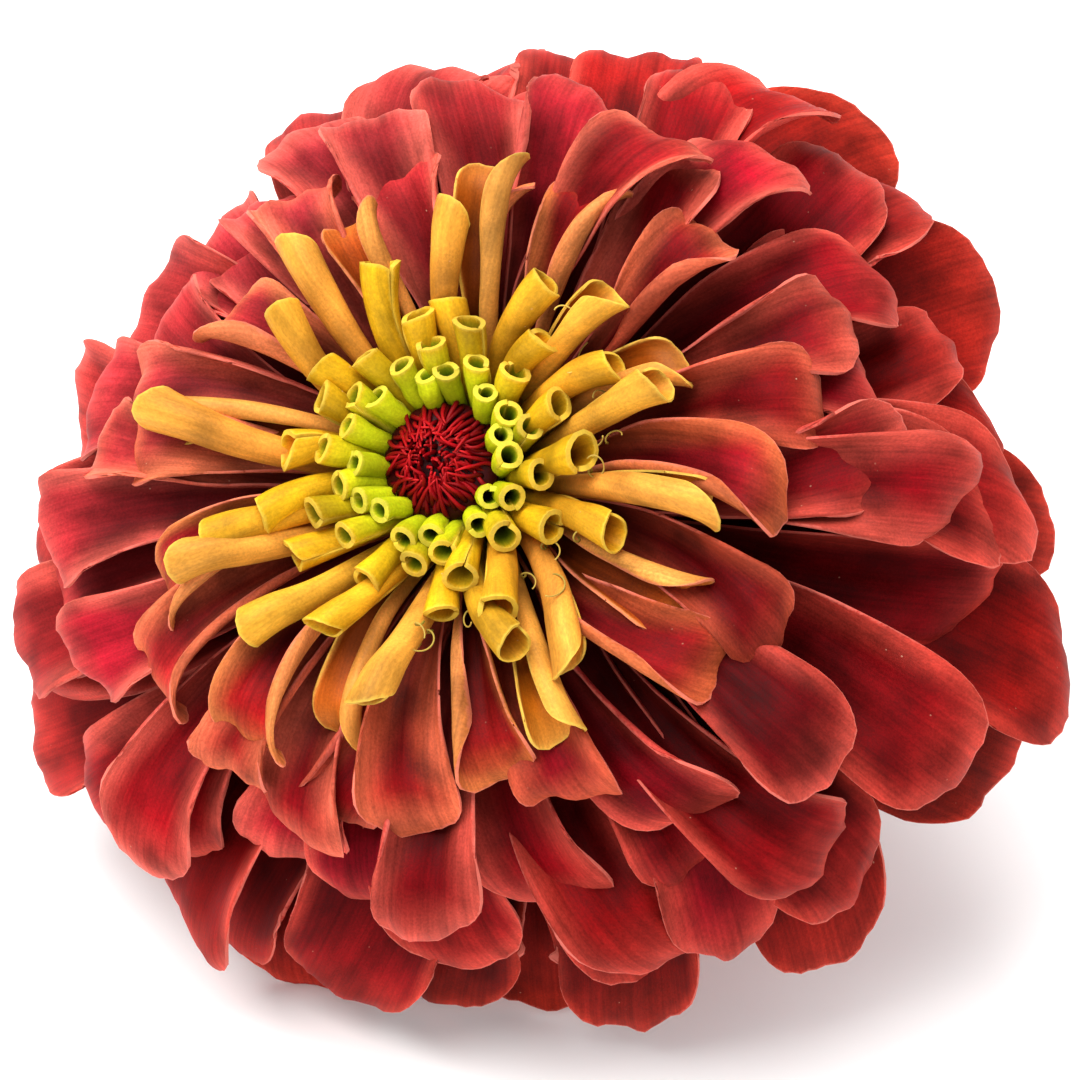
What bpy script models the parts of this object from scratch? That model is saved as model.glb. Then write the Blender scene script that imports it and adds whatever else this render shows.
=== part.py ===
"""A double zinnia flower head on a short cut stem, lying on its lower petals and the stem's end.

Metres, +Z up. The head is modelled upright in its own frame, with its axis along +Z and the base of its
receptacle at the origin. It is then tilted towards -Y, so that it rests on the plane Z = 0.
"""

import math

import bmesh
import bpy
import numpy as np
from mathutils import Matrix

MM = 0.001
UPWARD = np.array((0, 0, 1.0))

# Driving dimensions
HEAD_TILT = math.radians(44.11)
HEAD_LEAN = math.radians(-5.04)
CLEARANCE = 0.35 * MM

STEM_LENGTH = 52.0 * MM
STEM_RADIUS = 2.4 * MM
STEM_SIDES = 18
STEM_RINGS = 6
NECK_RADIUS = 3.0 * MM
CALYX_DEPTH = 10.0 * MM
BOWL_RINGS = 6
RECEPTACLE_RADIUS = 8.4 * MM
RECEPTACLE_TOP_RADIUS = 4.6 * MM
RECEPTACLE_HEIGHT = 19.0 * MM
CONE_RINGS = 5

# Florets sit on the receptacle in one spiral, a golden angle apart, from the oldest at the bottom (age 0) to
# the youngest round the disc (age 1). The oldest ones are the big petals, one solid each.
FLORET_COUNT = 130
PETAL_COUNT = 46
GOLDEN_ANGLE = math.pi * (3 - math.sqrt(5))
SPIRAL_START = math.radians(-75.0)
PETAL_THICKNESS = 0.55 * MM

# How a petal changes with its age: (age, value) stations, joined by straight lines.
ATTACH_HEIGHT_MM = ((0.0, 1.3), (0.36, 9.9), (1.0, 18.0))
LENGTH_MM = ((0.0, 41), (0.08, 42), (0.17, 40), (0.28, 35.5), (0.36, 30))
WIDTH_MM = ((0.0, 17), (0.08, 17), (0.17, 15), (0.28, 12.6), (0.36, 10))
BASE_RISE_DEG = ((0.0, 2), (0.08, 9), (0.17, 20), (0.28, 33), (0.38, 44))
TIP_RISE_DEG = ((0.0, -36), (0.08, -25), (0.17, -9), (0.28, 4), (0.36, 13))
LIP_DROP_DEG = ((0.0, 15), (0.08, 30), (0.17, 45), (0.36, 60))
BASE_CURL_DEG = ((0.0, 45), (0.38, 120))
BLADE_CURL_DEG = ((0.0, 25), (0.08, 60), (0.17, 95), (0.28, 110), (0.36, 115))
TIP_CURL_DEG = ((0.0, -10), (0.08, 5), (0.17, 20), (0.36, 40))
# How far the petals reach towards each side of the head: (degrees round its axis, share of the length).
SIDE_REACH = (
    (-180, 0.98), (-155, 1.04), (-128, 1.15), (-111, 1.02), (-95, 0.99), (-75, 1.02), (-50, 1.14),
    (-30, 1.13), (-9, 1.1), (8, 1.14), (22, 1.04), (38, 0.96), (55, 1.04), (75, 0.93), (100, 0.85),
    (125, 0.94), (146, 0.86), (162, 0.94), (180, 0.98),
)
CLAW_SHARE = 0.24
ROUND_TIP_SHARE = 0.24
PETAL_ROWS = 8
PETAL_COLUMNS = 6
MIDLINE_STEPS = 120
FLAT = 0.0001

BRACT_COUNT = 8
BRACT_THICKNESS = 0.8 * MM
BRACT_SHARE = 0.84
BRACT_MARGIN = 0.9 * MM
BRACT_ROWS = 5
BRACT_COLUMNS = 4

# The young florets are rolled into tubes. Each ring of them is one solid.
TUBES_PER_RING = 13
TUBE_SIDES = 6
TUBE_WALL = 0.35 * MM
TUBE_MOUTH_FLARE = 1.25
COLLAR_THICKNESS = 0.9 * MM
SITE_SHARE = 0.72
# Name, collar height and depth, tube length and radius, rise at its base and mouth in degrees, and colour.
TUBE_RINGS = (
    ("rolled_florets", 11.75 * MM, 1.4 * MM, 22.0 * MM, 1.7 * MM, (56, 30), (0.78, 0.33, 0.06)),
    ("tube_florets_outer", 13.5 * MM, 1.5 * MM, 15.0 * MM, 1.4 * MM, (62, 42), (0.80, 0.50, 0.05)),
    ("tube_florets_middle", 15.35 * MM, 1.4 * MM, 10.0 * MM, 1.15 * MM, (67, 54), (0.72, 0.66, 0.03)),
    ("tube_florets_inner", 17.2 * MM, 1.2 * MM, 6.0 * MM, 0.8 * MM, (74, 68), (0.48, 0.60, 0.04)),
)

DISC_RADIUS = 4.9 * MM
DISC_FOOT_RADIUS = 4.4 * MM
DISC_EDGE_HEIGHT = 0.8 * MM
DISC_HEIGHT = 2.6 * MM
DISC_DOME_TURN = math.radians(81)
DISC_RINGS = 4
DISC_SECTORS = 12
DISC_FLORET_HEIGHT = 1.5 * MM
DISC_FLORET_TAPER = 0.45

RED = (0.50, 0.03, 0.03)
SALMON_RED = (0.62, 0.09, 0.06)
STEM_GREEN = (0.17, 0.27, 0.07)
BRACT_GREEN = (0.12, 0.20, 0.06)
DISC_RED = (0.35, 0.005, 0.01)


def at_age(stations, age):
    ages, values = zip(*stations)
    return float(np.interp(age, ages, values))


def side_reach(azimuth):
    """The share of their usual length that petals have towards an azimuth, as the head isn't quite round."""
    degrees = (math.degrees(azimuth) + 180) % 360 - 180
    return float(np.interp(degrees, *zip(*SIDE_REACH)))


def smooth_step(low, high, x):
    share = np.clip((x - low) / (high - low), 0, 1)
    return share * share * (3 - 2 * share)


def directions(azimuth):
    """Away from the head's axis, and sideways round it."""
    cosine, sine = math.cos(azimuth), math.sin(azimuth)
    return np.array((cosine, sine, 0)), np.array((-sine, cosine, 0))


def clear_scene():
    for old in list(bpy.data.objects):
        bpy.data.objects.remove(old, do_unlink=True)


def plant_material(name, colour, roughness):
    made = bpy.data.materials.new(name)
    made.use_nodes = True
    shader = made.node_tree.nodes["Principled BSDF"]
    shader.inputs["Base Color"].default_value = (*colour, 1)
    shader.inputs["Roughness"].default_value = roughness
    shader.inputs["Metallic"].default_value = 0.0
    return made


def add_piece(name, points, faces, material, parent):
    """One closed piece from points in the head's own frame, in metres."""
    mesh = bpy.data.meshes.new(name)
    mesh.from_pydata([tuple(p) for p in points], [], faces)
    tidy = bmesh.new()
    tidy.from_mesh(mesh)
    bmesh.ops.recalc_face_normals(tidy, faces=tidy.faces)
    tidy.to_mesh(mesh)
    tidy.free()
    mesh.shade_smooth()
    mesh.set_sharp_from_angle(angle=math.radians(50))
    mesh.materials.append(material)
    piece = bpy.data.objects.new(name, mesh)
    bpy.context.scene.collection.objects.link(piece)
    piece.parent = parent
    return piece


def receptacle_radius(height):
    """The cone that carries the florets, above the calyx."""
    share = height / RECEPTACLE_HEIGHT
    return RECEPTACLE_RADIUS + (RECEPTACLE_TOP_RADIUS - RECEPTACLE_RADIUS) * share


def calyx_radius(height):
    """The bowl under the receptacle, from the neck of the stem up to height 0."""
    share = np.clip(1 + height / CALYX_DEPTH, 0, 1)
    return NECK_RADIUS + (RECEPTACLE_RADIUS - NECK_RADIUS) * math.sin(share * math.pi / 2)


# Petals


def petal_profile(age, along):
    """The midline's rise, the full width and the curl across it, at shares of the length from 0 to 1."""
    base = math.radians(at_age(BASE_RISE_DEG, age))
    tip = math.radians(at_age(TIP_RISE_DEG, age))
    lip = math.radians(at_age(LIP_DROP_DEG, age))
    rise = base + (tip - base) * smooth_step(0, 0.95, along) - lip * smooth_step(0.72, 1, along)
    width = at_age(WIDTH_MM, age) * MM * (CLAW_SHARE + (1 - CLAW_SHARE) * smooth_step(0.05, 0.68, along))
    curls = (at_age(table, age) for table in (BASE_CURL_DEG, BLADE_CURL_DEG, TIP_CURL_DEG))
    at_base, at_blade, at_tip = (math.radians(curl) for curl in curls)
    curl = at_base + (at_blade - at_base) * smooth_step(0.1, 0.6, along)
    curl = curl + (at_tip - at_blade) * smooth_step(0.6, 1, along)
    return rise, width, curl


def petal_surface(index):
    """The petal's middle surface as a grid of points and normals, base row first, left edge first."""
    age = index / (FLORET_COUNT - 1)
    azimuth = SPIRAL_START + index * GOLDEN_ANGLE
    length = at_age(LENGTH_MM, age) * MM * side_reach(azimuth)
    radial, across = directions(azimuth)

    fine = np.linspace(0, 1, MIDLINE_STEPS + 1)
    rise, _, _ = petal_profile(age, fine)
    step = length / MIDLINE_STEPS
    out = np.concatenate([[0], np.cumsum(np.cos(rise[:-1]))]) * step
    up = np.concatenate([[0], np.cumsum(np.sin(rise[:-1]))]) * step
    height = at_age(ATTACH_HEIGHT_MM, age) * MM
    start = receptacle_radius(height) + CLEARANCE + PETAL_THICKNESS / 2 * (1 + math.sin(max(rise[0], 0)))

    points = np.zeros((PETAL_ROWS + 1, PETAL_COLUMNS + 1, 3))
    normals = np.zeros_like(points)
    for column in range(PETAL_COLUMNS + 1):
        turn = math.pi / 2 * (2 * column / PETAL_COLUMNS - 1)
        side = math.sin(turn)
        reach = 1 - ROUND_TIP_SHARE * (1 - math.cos(turn))
        along = reach * np.linspace(0, 1, PETAL_ROWS + 1)
        rise, width, curl = petal_profile(age, along)
        lean = side * curl / 2
        curled = np.where(np.abs(curl) < FLAT, FLAT, curl)
        sideways = width / curled * np.sin(side * curled / 2)
        raised = width / curled * (1 - np.cos(side * curled / 2))
        middle_out = start + np.interp(along, fine, out)
        middle_up = height + np.interp(along, fine, up)
        inward = np.outer(-np.sin(rise), radial) + np.outer(np.cos(rise), UPWARD)
        points[:, column] = (
            np.outer(middle_out, radial)
            + np.outer(middle_up, UPWARD)
            + inward * raised[:, None]
            + np.outer(sideways, across)
        )
        normals[:, column] = inward * np.cos(lean)[:, None] - np.outer(np.sin(lean), across)
    return points, normals


def sheet_solid(points, normals, thickness):
    """A closed shell of even thickness round a grid of points: its vertices and faces."""
    rows, columns = points.shape[:2]
    count = rows * columns
    top = points + normals * thickness / 2
    bottom = points - normals * thickness / 2
    vertices = np.concatenate([top.reshape(-1, 3), bottom.reshape(-1, 3)])
    at = np.arange(count).reshape(rows, columns)
    faces = []
    for row in range(rows - 1):
        for column in range(columns - 1):
            quad = (at[row, column], at[row, column + 1], at[row + 1, column + 1], at[row + 1, column])
            faces.append([int(i) for i in quad])
            faces.append([int(i) + count for i in reversed(quad)])
    rim = [*at[0, :], *at[1:, -1], *at[-1, -2::-1], *at[-2:0:-1, 0]]
    for here, there in zip(rim, rim[1:] + rim[:1]):
        faces.append([int(here), int(here) + count, int(there) + count, int(there)])
    return vertices, faces


def add_petals(parent):
    outer = plant_material("petal_red", RED, 0.6)
    upper = plant_material("petal_salmon_red", SALMON_RED, 0.6)
    pieces = []
    for index in range(PETAL_COUNT):
        vertices, faces = sheet_solid(*petal_surface(index), PETAL_THICKNESS)
        material = outer if index < PETAL_COUNT // 2 else upper
        pieces.append(add_piece(f"petal_{index + 1:02d}", vertices, faces, material, parent))
    return pieces


# Tube florets


def tube_station(height, length, rises, azimuth, share):
    """The middle of the tube at a share of its length, and the two directions across it."""
    radial, across = directions(azimuth)
    base, mouth = (math.radians(rise) for rise in rises)
    rise = base + (mouth - base) * share
    out = length / (mouth - base) * (math.sin(rise) - math.sin(base))
    up = length / (mouth - base) * (math.cos(base) - math.cos(rise))
    start = receptacle_radius(height) + CLEARANCE + COLLAR_THICKNESS
    centre = (start + out) * radial + (height + up) * UPWARD
    return centre, across, -math.sin(rise) * radial + math.cos(rise) * UPWARD


def hexagon(centre, across, inward, radius):
    """Six corners, bottom left first, in the order of a collar site's corners."""
    turns = [math.radians(a) for a in (210, 270, 330, 30, 90, 150)]
    return [centre + radius * (math.cos(t) * across + math.sin(t) * inward) for t in turns]


def tube_ring(height, depth, length, radius, rises, phase):
    """A collar round the receptacle with a hollow tube growing out of each of its sites."""
    points, faces = [], []
    columns = 3 * TUBES_PER_RING
    levels = (height - depth / 2, height + depth / 2)
    pitch = 2 * math.pi / TUBES_PER_RING
    offsets = (-SITE_SHARE * pitch / 2, 0, SITE_SHARE * pitch / 2)
    for column in range(columns):
        azimuth = phase + (column // 3) * pitch + offsets[column % 3]
        for level, thickness in ((levels[0], 0), (levels[0], 1), (levels[1], 1), (levels[1], 0)):
            spread = receptacle_radius(level) + CLEARANCE + COLLAR_THICKNESS * thickness
            points.append(spread * directions(azimuth)[0] + level * UPWARD)
    inner_low, outer_low, outer_high, inner_high = range(4)
    for column in range(columns):
        here, there = 4 * column, 4 * ((column + 1) % columns)
        faces.append([here + inner_low, there + inner_low, there + inner_high, here + inner_high])
        faces.append([here + inner_high, there + inner_high, there + outer_high, here + outer_high])
        faces.append([here + outer_low, there + outer_low, there + inner_low, here + inner_low])
        if column % 3 == 2:
            faces.append([here + outer_low, here + outer_high, there + outer_high, there + outer_low])
    for tube in range(TUBES_PER_RING):
        left, middle, right = (4 * (3 * tube + k) for k in range(3))
        ring = [left + outer_low, middle + outer_low, right + outer_low]
        ring += [right + outer_high, middle + outer_high, left + outer_high]
        azimuth = phase + tube * pitch
        mouth = radius * TUBE_MOUTH_FLARE
        outside = ((0.25, radius * 0.6), (0.6, radius), (1, mouth))
        inside = ((1, mouth - TUBE_WALL), (0.5, radius * 0.5))
        for share, size in outside + inside:
            first = len(points)
            centre, across, inward = tube_station(height, length, rises, azimuth, share)
            points += hexagon(centre, across, inward, size)
            new_ring = list(range(first, first + TUBE_SIDES))
            for k in range(TUBE_SIDES):
                after = (k + 1) % TUBE_SIDES
                faces.append([ring[k], ring[after], new_ring[after], new_ring[k]])
            ring = new_ring
        faces.append(ring)
    return points, faces


def add_tube_rings(parent):
    pieces = []
    for order, (name, height, depth, length, radius, rises, colour) in enumerate(TUBE_RINGS):
        phase = order * math.pi / TUBES_PER_RING
        points, faces = tube_ring(height, depth, length, radius, rises, phase)
        pieces.append(add_piece(name, points, faces, plant_material(name, colour, 0.5), parent))
    return pieces


# Disc florets


def add_disc(parent):
    """The young florets in the middle: a low dome with a blunt point for each of them."""
    shape = bmesh.new()
    base = RECEPTACLE_HEIGHT + CLEARANCE
    outlines = [(DISC_FOOT_RADIUS, base, 0)]
    for ring in range(DISC_RINGS + 1):
        turn = ring / DISC_RINGS * DISC_DOME_TURN
        height = base + DISC_EDGE_HEIGHT + DISC_HEIGHT * math.sin(turn)
        outlines.append((DISC_RADIUS * math.cos(turn), height, ring / 2))
    rings = []
    for radius, height, shift in outlines:
        turns = (2 * math.pi * (sector + shift) / DISC_SECTORS for sector in range(DISC_SECTORS))
        rings.append([shape.verts.new(radius * directions(turn)[0] + height * UPWARD) for turn in turns])
    sides = []
    for low, high in zip(rings, rings[1:]):
        for here in range(DISC_SECTORS):
            there = (here + 1) % DISC_SECTORS
            sides.append(shape.faces.new((low[here], low[there], high[there], high[here])))
    shape.faces.new(rings[-1])
    shape.faces.new(list(reversed(rings[0])))
    bmesh.ops.recalc_face_normals(shape, faces=shape.faces)
    for face in sides[DISC_SECTORS::2]:
        grown = bmesh.ops.extrude_discrete_faces(shape, faces=[face])["faces"][0]
        centre, outward = grown.calc_center_median(), grown.normal.copy()
        for corner in grown.verts:
            corner.co = centre + (corner.co - centre) * DISC_FLORET_TAPER + outward * DISC_FLORET_HEIGHT
    mesh = bpy.data.meshes.new("disc_florets")
    shape.to_mesh(mesh)
    shape.free()
    mesh.materials.append(plant_material("disc_red", DISC_RED, 0.4))
    piece = bpy.data.objects.new("disc_florets", mesh)
    bpy.context.scene.collection.objects.link(piece)
    piece.parent = parent
    return piece


# Calyx


def calyx_slope(height):
    """How fast the bowl widens with height."""
    step = 0.1 * MM
    return (calyx_radius(height + step) - calyx_radius(height - step)) / (2 * step)


def add_bracts(parent):
    """Scale-like bracts side by side round the bowl under the petals, rounded at the top."""
    green = plant_material("bract_green", BRACT_GREEN, 0.6)
    pitch = 2 * math.pi / BRACT_COUNT
    pieces = []
    for number in range(BRACT_COUNT):
        points = np.zeros((BRACT_ROWS + 1, BRACT_COLUMNS + 1, 3))
        normals = np.zeros_like(points)
        for row, share in enumerate(np.linspace(0, 1, BRACT_ROWS + 1)):
            half_width = BRACT_SHARE * pitch / 2 * math.sqrt(max(1 - share**3, 0.12))
            height = -CALYX_DEPTH + BRACT_MARGIN + share * (CALYX_DEPTH - 2 * BRACT_MARGIN)
            radius = calyx_radius(height) + CLEARANCE + BRACT_THICKNESS / 2
            slope = calyx_slope(height)
            for column, side in enumerate(np.linspace(-1, 1, BRACT_COLUMNS + 1)):
                radial, _ = directions(number * pitch + side * half_width)
                points[row, column] = radius * radial + height * UPWARD
                normals[row, column] = (radial - slope * UPWARD) / math.hypot(1, slope)
        vertices, faces = sheet_solid(points, normals, BRACT_THICKNESS)
        pieces.append(add_piece(f"bract_{number + 1}", vertices, faces, green, parent))
    return pieces


# Stem and receptacle


def stem_stations():
    """Height and radius along the stem, the bowl of the calyx and the receptacle, from the cut end up."""
    stations = []
    for share in np.linspace(0, 1, STEM_RINGS + 1)[:-1]:
        height = -STEM_LENGTH + (STEM_LENGTH - CALYX_DEPTH) * share
        stations.append((height, STEM_RADIUS + (NECK_RADIUS - STEM_RADIUS) * share**4))
    for height in np.linspace(-CALYX_DEPTH, 0, BOWL_RINGS + 1):
        stations.append((height, calyx_radius(height)))
    for height in np.linspace(0, RECEPTACLE_HEIGHT, CONE_RINGS + 1)[1:]:
        stations.append((height, receptacle_radius(height)))
    return stations


def add_stem(parent):
    """The stem and the receptacle that it swells into, as one grown piece."""
    stations = stem_stations()
    points, faces = [], []
    for height, radius in stations:
        for turn in np.arange(STEM_SIDES) * 2 * math.pi / STEM_SIDES:
            points.append(radius * directions(turn)[0] + height * UPWARD)
    for ring in range(len(stations) - 1):
        for side in range(STEM_SIDES):
            here, after = ring * STEM_SIDES + side, ring * STEM_SIDES + (side + 1) % STEM_SIDES
            faces.append([here, after, after + STEM_SIDES, here + STEM_SIDES])
    faces.append(list(range(STEM_SIDES)))
    faces.append(list(range(len(points) - STEM_SIDES, len(points))))
    green = plant_material("stem_green", STEM_GREEN, 0.55)
    return add_piece("stem_and_receptacle", points, faces, green, parent)


def lay_down(head, pieces):
    """Tilts the head, then moves it so that it stands on Z = 0 with its box centred over the origin."""
    head.matrix_world = Matrix.Rotation(HEAD_LEAN, 4, "Y") @ Matrix.Rotation(HEAD_TILT, 4, "X")
    bpy.context.view_layer.update()
    corners = [piece.matrix_world @ vertex.co for piece in pieces for vertex in piece.data.vertices]
    low, high = np.min(corners, axis=0), np.max(corners, axis=0)
    head.location = (-(low[0] + high[0]) / 2, -(low[1] + high[1]) / 2, -low[2])


def main():
    clear_scene()
    head = bpy.data.objects.new("head", None)
    bpy.context.scene.collection.objects.link(head)
    pieces = [add_stem(head), add_disc(head)]
    pieces += add_bracts(head) + add_petals(head) + add_tube_rings(head)
    lay_down(head, pieces)


main()
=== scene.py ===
"""The looks of a fully double zinnia head on a short cut stem, lying on its lower petals and the stem's end.

Metres, +Z up, in the CAD model's frame. Florets are made upright in the head's own frame, with its axis
along +Z and the base of the receptacle at the origin, and are then laid down with the CAD model's tilt.
"""

import math

import bpy
import numpy as np
from mathutils import Matrix, Vector


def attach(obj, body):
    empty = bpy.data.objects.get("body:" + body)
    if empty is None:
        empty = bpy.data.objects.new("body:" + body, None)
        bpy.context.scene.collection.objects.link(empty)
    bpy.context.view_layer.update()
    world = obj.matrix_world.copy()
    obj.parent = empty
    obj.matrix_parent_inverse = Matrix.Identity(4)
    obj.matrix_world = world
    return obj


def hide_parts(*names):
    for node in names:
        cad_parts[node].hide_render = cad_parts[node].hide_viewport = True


MM = 0.001
UPWARD = np.array((0, 0, 1.0))

# The head's pose and receptacle, as in the CAD model
HEAD_TILT = math.radians(44.11)
HEAD_LEAN = math.radians(-5.04)
STEM_LENGTH = 52.0 * MM
STEM_RADIUS = 2.4 * MM
NECK_RADIUS = 3.0 * MM
CALYX_DEPTH = 10.0 * MM
RECEPTACLE_RADIUS = 8.4 * MM
RECEPTACLE_TOP_RADIUS = 4.6 * MM
RECEPTACLE_HEIGHT = 19.0 * MM
GOLDEN_ANGLE = math.pi * (3 - math.sqrt(5))
SPIRAL_START = math.radians(-75.0)
FLORET_COUNT = 130
PETAL_COUNT = 46
FLOOR_EASE = 0.3 * MM
# Petals between those of the CAD model: their places on the spiral, how far round from them they stand,
# in degrees, and how many make a piece
FIRST_BETWEEN = 5
LAST_BETWEEN = 40
UPPER_BETWEEN = (40, 41, 43, 44, 45)
BETWEEN_SHIFT = -42.75
DEEP_PETALS = range(6, 34, 2)
DEEP_SHIFT = BETWEEN_SHIFT / 2 + 40.0
GROUP_SIZE = 5
BRACT_COUNT = 8
# Rows of bracts: lower end, upper end and lift off the bowl in millimetres, and shift round it in pitches
BRACT_ROWS = ((-9.6, -4.6, 1.25, 0.5), (-8.6, -2.0, 0.75, 0.0), (-7.0, 0.8, 0.25, 0.5))
DISC_THREADS = 150
DISC_RADIUS = 5.3 * MM
STYLE_COUNT = 16
HAIR_COUNT = 900
HAIR_RADII = np.array([0.035, 0.03, 0.02, 0.008]) * MM

# How a floret changes with its age, from the oldest (0) to the youngest (1): (age, value) stations,
# in millimetres and degrees, joined by straight lines.
ATTACH_HEIGHT = ((0.0, 1.3), (0.36, 9.9), (1.0, 18.2))
LENGTH = (
    (0.0, 41), (0.08, 42), (0.17, 40), (0.28, 35), (0.36, 29.5), (0.44, 24.5), (0.5, 22.5), (0.58, 19.5),
    (0.66, 13), (0.8, 8.5), (0.9, 6.2), (1.0, 4.8),
)
WIDTH = (
    (0.0, 17.5), (0.08, 16.6), (0.17, 13.0), (0.28, 10.6), (0.36, 9.4), (0.43, 8.7), (0.5, 8.1),
    (0.6, 7.5), (0.72, 6.7), (0.85, 5.6), (1.0, 5.0),
)
BASE_RISE = (
    (0.0, 2), (0.08, 9), (0.17, 20), (0.28, 33), (0.38, 42), (0.6, 50), (0.72, 57), (0.85, 63), (1.0, 70),
)
TIP_RISE = (
    (0.0, -36), (0.08, -25), (0.17, -9), (0.28, 4), (0.38, 12), (0.48, 17), (0.6, 28), (0.72, 38),
    (0.85, 50), (1.0, 60),
)
LIP_DROP = (
    (0.0, 15), (0.08, 35), (0.17, 58), (0.28, 75), (0.38, 80), (0.46, 60), (0.55, 40), (0.65, 14),
    (1.0, 4),
)
BASE_CURL = ((0.0, 60), (0.1, 110), (0.17, 150), (0.38, 250), (0.46, 330), (1.0, 340))
BLADE_CURL = (
    (0.0, 40), (0.05, 80), (0.1, 120), (0.17, 155), (0.28, 205), (0.36, 245), (0.44, 300), (0.5, 355),
    (0.56, 362), (1.0, 364),
)
TIP_CURL = (
    (0.0, -10), (0.08, 0), (0.17, 15), (0.28, 40), (0.36, 80), (0.44, 190), (0.5, 310), (0.56, 335),
    (0.66, 350), (1.0, 362),
)
RECURVE = (
    (0.0, 0.4), (0.06, 0.8), (0.12, 1.2), (0.3, 1.3), (0.38, 1.0), (0.46, 0.7), (0.6, 0.45), (0.7, 0.35),
    (1.0, 0.2),
)
ROLL_POWER = ((0.0, 1.3), (0.17, 1.5), (0.28, 1.6), (0.4, 1.5), (0.5, 1.2), (0.58, 1.0), (1.0, 1.0))
CLAW = ((0.0, 0.3), (0.2, 0.32), (0.38, 0.32), (0.5, 0.5), (0.6, 0.62), (1.0, 0.7))
MOUTH = (
    (0.0, -0.1), (0.1, 0.0), (0.2, 0.2), (0.38, 0.26), (0.46, 0.12), (0.54, 0.16), (0.66, 0.12),
    (0.85, 0.0), (1.0, -0.06),
)
TIP_ROUND = ((0.0, 0.21), (0.17, 0.29), (0.36, 0.32), (0.44, 0.26), (0.5, 0.1), (0.6, 0.05), (1.0, 0.02))

# How much longer florets are towards each side of the head: (degrees round the head's axis, factor)
SIDE_REACH = (
    (-180, 0.98), (-155, 1.09), (-128, 1.21), (-111, 1.0), (-97, 0.85), (-85, 1.06), (-72, 0.98), (-60, 0.98),
    (-52, 1.04), (-46, 1.22), (-35, 1.12), (-21, 1.16), (-9, 1.09), (8, 1.24), (22, 1.05), (38, 0.95),
    (55, 1.01), (68, 1.02), (84, 1.0), (101, 0.83), (128, 0.92), (137, 0.82), (158, 0.86), (173, 0.85),
    (187, 0.98),
)

# The side of the head whose petals are painted lighter and pinker, as painted light; petals on the opposite
# side are painted darker, as painted shade
PAINTED_LIGHT_SIDE = math.radians(150.0)

# Colours, linear
# Painted shade: near-black and dark red for the throats and hollows of the florets, where they lie under and
# between each other
PAINTED_DEEP_SHADE = (0.035, 0.0005, 0.0012)
PAINTED_DARK_SHADE = (0.085, 0.0008, 0.002)
BRICK = (0.34, 0.013, 0.007)
RED = (0.36, 0.005, 0.004)
CRIMSON = (0.32, 0.002, 0.006)
CARMINE = (0.38, 0.008, 0.008)
MAGENTA = (0.46, 0.004, 0.024)
VERMILION = (0.50, 0.030, 0.012)
# Painted shade: mixed into the lips of petals on the darker side of the head
PAINTED_SHADE_SCARLET = (0.62, 0.030, 0.016)
ROSE = (0.52, 0.040, 0.042)
TERRACOTTA = (0.66, 0.10, 0.05)
CORAL = (0.74, 0.080, 0.056)
SALMON = (0.90, 0.150, 0.105)
# Painted light: mixed into petals on the lighter side of the head
PAINTED_LIGHT_PINK = (0.72, 0.16, 0.16)
PEACH = (0.86, 0.24, 0.07)
BLUSH = (0.84, 0.25, 0.04)
APRICOT = (0.84, 0.36, 0.10)
YELLOW = (0.80, 0.44, 0.010)
GOLD = (0.88, 0.40, 0.060)
ORANGE = (0.72, 0.19, 0.008)
# Painted shade inside the throats of the rolled florets
PAINTED_RUST_SHADE = (0.30, 0.055, 0.004)
LIME = (0.62, 0.68, 0.010)
GREEN = (0.20, 0.32, 0.008)
# Painted shade deep inside the tube florets
PAINTED_GREEN_SHADE = (0.07, 0.12, 0.004)

# A floret's colours by its stage: inside the throat, painted dark as painted shade; on the face; at the lip,
# its own paler colour that on the red petals is also a painted highlight; and behind
THROAT_PAINTED_SHADE = ((0.0, PAINTED_DARK_SHADE), (0.1, PAINTED_DEEP_SHADE), (0.42, PAINTED_DEEP_SHADE), (0.52, PAINTED_RUST_SHADE), (0.7, PAINTED_RUST_SHADE), (0.85, PAINTED_GREEN_SHADE))
FACE = (
    (0.0, BRICK), (0.12, RED), (0.26, CRIMSON), (0.43, CARMINE), (0.5, ORANGE), (0.66, ORANGE), (0.8, GREEN),
    (1.0, GREEN),
)
# The lips' own paler colours; on the red petals they are brightened past that as a painted highlight on the
# rolled-down lip
LIP_AND_PAINTED_HIGHLIGHT = (
    (0.0, VERMILION), (0.12, CORAL), (0.28, SALMON), (0.41, PEACH), (0.5, GOLD), (0.62, YELLOW),
    (0.8, YELLOW), (1.0, LIME),
)
BACK = (
    (0.0, ROSE), (0.3, ROSE), (0.36, TERRACOTTA), (0.42, APRICOT), (0.5, GOLD), (0.6, YELLOW), (0.74, YELLOW),
    (0.84, LIME), (1.0, LIME),
)

# Colours of the other pieces along their length: (place, colour) stops
# The threads' own crimson, darkened towards their roots as painted shade among them
THREAD_COLOUR_AND_ROOT_SHADE = ((0, (0.05, 0.001, 0.002)), (0.35, (0.24, 0.002, 0.005)), (0.7, (0.42, 0.003, 0.008)))
THREAD_TIPS = ((0.46, 0.004, 0.010), (0.66, 0.02, 0.02))
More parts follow.
